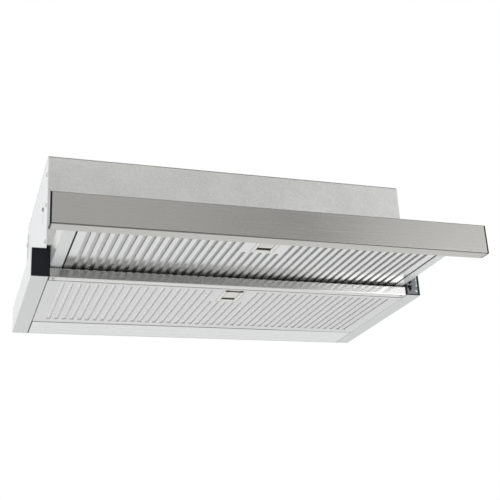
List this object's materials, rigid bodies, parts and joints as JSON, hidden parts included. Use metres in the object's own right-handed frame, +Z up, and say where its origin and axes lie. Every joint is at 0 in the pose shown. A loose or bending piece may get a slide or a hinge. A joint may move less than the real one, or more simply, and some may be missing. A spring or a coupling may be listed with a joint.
{
  "type": "pull out range hood",
  "caption": "Slim cooker hood for a wall cabinet: a folded sheet body with blower, lamp and hinged grease filter, and a filter tray that slides out behind a steel front panel.",
  "frame": {"origin": "middle of the bottom edge of the back panel, on the wall plane, with the tray pulled out", "axes": "+X to the right seen from the kitchen, +Y to the wall, +Z up"},
  "size_m": [0.598, 0.489, 0.2196],
  "materials": {
    "body_sheet": "smooth light coated sheet",
    "galvanised": "galvanised, faint spangle",
    "stainless": "long brushed, satin",
    "filter_sheet": "satin",
    "filter_mesh": "expanded mesh layers",
    "black_plastic": "fine moulded grain",
    "knob_plastic": "smooth moulded",
    "label_plate": "satin grey label",
    "latch_plastic": "ivory moulded",
    "diffuser": "opal",
    "led_board": "white coated board",
    "slide_steel": "zinc plated",
    "cage_plastic": "moulded",
    "motor_steel": "pressed and coated",
    "impeller_plastic": "moulded",
    "collar_plastic": "moulded",
    "box_plastic": "moulded",
    "screw_steel": "zinc plated"
  },
  "bodies": {
    "hood_body": {"left_side_panel": "body_sheet", "right_side_panel": "body_sheet", "back_panel": "galvanised", "upper_front_panel": "galvanised", "top_panel": "galvanised", "front_strip": "stainless", "left_corner_cap": "black_plastic", "control_bezel": "black_plastic", "control_plate": "label_plate", "switch_block": "black_plastic", "light_panel": "filter_sheet", "lamp_housing": "body_sheet", "lamp_diffuser": "diffuser", "led_board": "led_board", "blower_housing": "galvanised", "left_inlet_plate": "galvanised", "right_inlet_plate": "galvanised", "left_motor": "motor_steel", "right_motor": "motor_steel", "left_motor_bracket": "galvanised", "right_motor_bracket": "galvanised", "outlet_collar": "collar_plastic", "terminal_box": "box_plastic", "capacitor": "box_plastic", "cable_gland": "black_plastic", "left_slide_bracket": "galvanised", "right_slide_bracket": "galvanised", "left_fixed_rail": "slide_steel", "right_fixed_rail": "slide_steel", "body_screws": "screw_steel"},
    "tray": {"left_moving_rail": "slide_steel", "right_moving_rail": "slide_steel", "left_tray_side": "body_sheet", "right_tray_side": "body_sheet", "tray_front_rail": "galvanised", "tray_rear_rail": "galvanised", "front_panel": "stainless", "front_panel_back": "galvanised", "left_end_cap": "black_plastic", "right_end_cap": "black_plastic", "tray_filter_cover": "filter_sheet", "tray_filter_mesh": "filter_mesh", "tray_filter_back": "filter_sheet", "tray_latch_plate": "latch_plastic", "tray_screws": "screw_steel"},
    "left_cage": {"left_ball_cage": "cage_plastic"},
    "right_cage": {"right_ball_cage": "cage_plastic"},
    "tray_latch_slide": {"tray_latch": "latch_plastic"},
    "fixed_filter": {"fixed_filter_cover": "filter_sheet", "fixed_filter_mesh": "filter_mesh", "fixed_filter_back": "filter_sheet", "fixed_latch_plate": "latch_plastic"},
    "fixed_latch_slide": {"fixed_latch": "latch_plastic"},
    "speed_knob": {"speed_slider": "knob_plastic"},
    "light_knob": {"light_slider": "knob_plastic"},
    "left_fan": {"left_impeller": "impeller_plastic"},
    "right_fan": {"right_impeller": "impeller_plastic"},
    "left_flap_body": {"left_flap": "collar_plastic"},
    "right_flap_body": {"right_flap": "collar_plastic"}
  },
  "joints": [
    {"name": "tray_slide", "type": "slide", "parent": "hood_body", "child": "tray", "axis": [0, 1, 0], "range_m": [0, 0.183]},
    {"name": "left_cage_slide", "type": "slide", "parent": "hood_body", "child": "left_cage", "axis": [0, 1, 0], "range_m": [0, 0.0916]},
    {"name": "right_cage_slide", "type": "slide", "parent": "hood_body", "child": "right_cage", "axis": [0, 1, 0], "range_m": [0, 0.0916]},
    {"name": "tray_latch_pull", "type": "slide", "parent": "tray", "child": "tray_latch_slide", "axis": [0, 1, 0], "range_m": [0, 0.0045], "stiffness_N_per_m": 300, "springref_m": -0.004},
    {"name": "fixed_filter_hinge", "type": "hinge", "parent": "hood_body", "child": "fixed_filter", "pos_m": [0, -0.075, 0.004], "axis": [1, 0, 0], "range_deg": [0, 80]},
    {"name": "fixed_latch_pull", "type": "slide", "parent": "fixed_filter", "child": "fixed_latch_slide", "axis": [0, 1, 0], "range_m": [0, 0.0045], "stiffness_N_per_m": 300, "springref_m": -0.004},
    {"name": "speed_slide", "type": "slide", "parent": "hood_body", "child": "speed_knob", "axis": [0, 0, -1], "range_m": [-0.004, 0.004]},
    {"name": "light_slide", "type": "slide", "parent": "hood_body", "child": "light_knob", "axis": [0, 0, -1], "range_m": [0, 0.004]},
    {"name": "left_fan_spin", "type": "hinge", "parent": "hood_body", "child": "left_fan", "pos_m": [0, -0.172, 0.116], "axis": [1, 0, 0], "continuous": true},
    {"name": "right_fan_spin", "type": "hinge", "parent": "hood_body", "child": "right_fan", "pos_m": [0, -0.172, 0.116], "axis": [1, 0, 0], "continuous": true},
    {"name": "left_flap_hinge", "type": "hinge", "parent": "hood_body", "child": "left_flap_body", "pos_m": [-0.003, -0.135, 0.1916], "axis": [0, 1, 0], "range_deg": [0, 80]},
    {"name": "right_flap_hinge", "type": "hinge", "parent": "hood_body", "child": "right_flap_body", "pos_m": [0.003, -0.135, 0.1916], "axis": [0, -1, 0], "range_deg": [0, 80]}
  ],
  "couplings": [
    {"joint": "left_cage_slide", "follows": "tray_slide", "ratio": 0.5},
    {"joint": "right_cage_slide", "follows": "tray_slide", "ratio": 0.5}
  ]
}
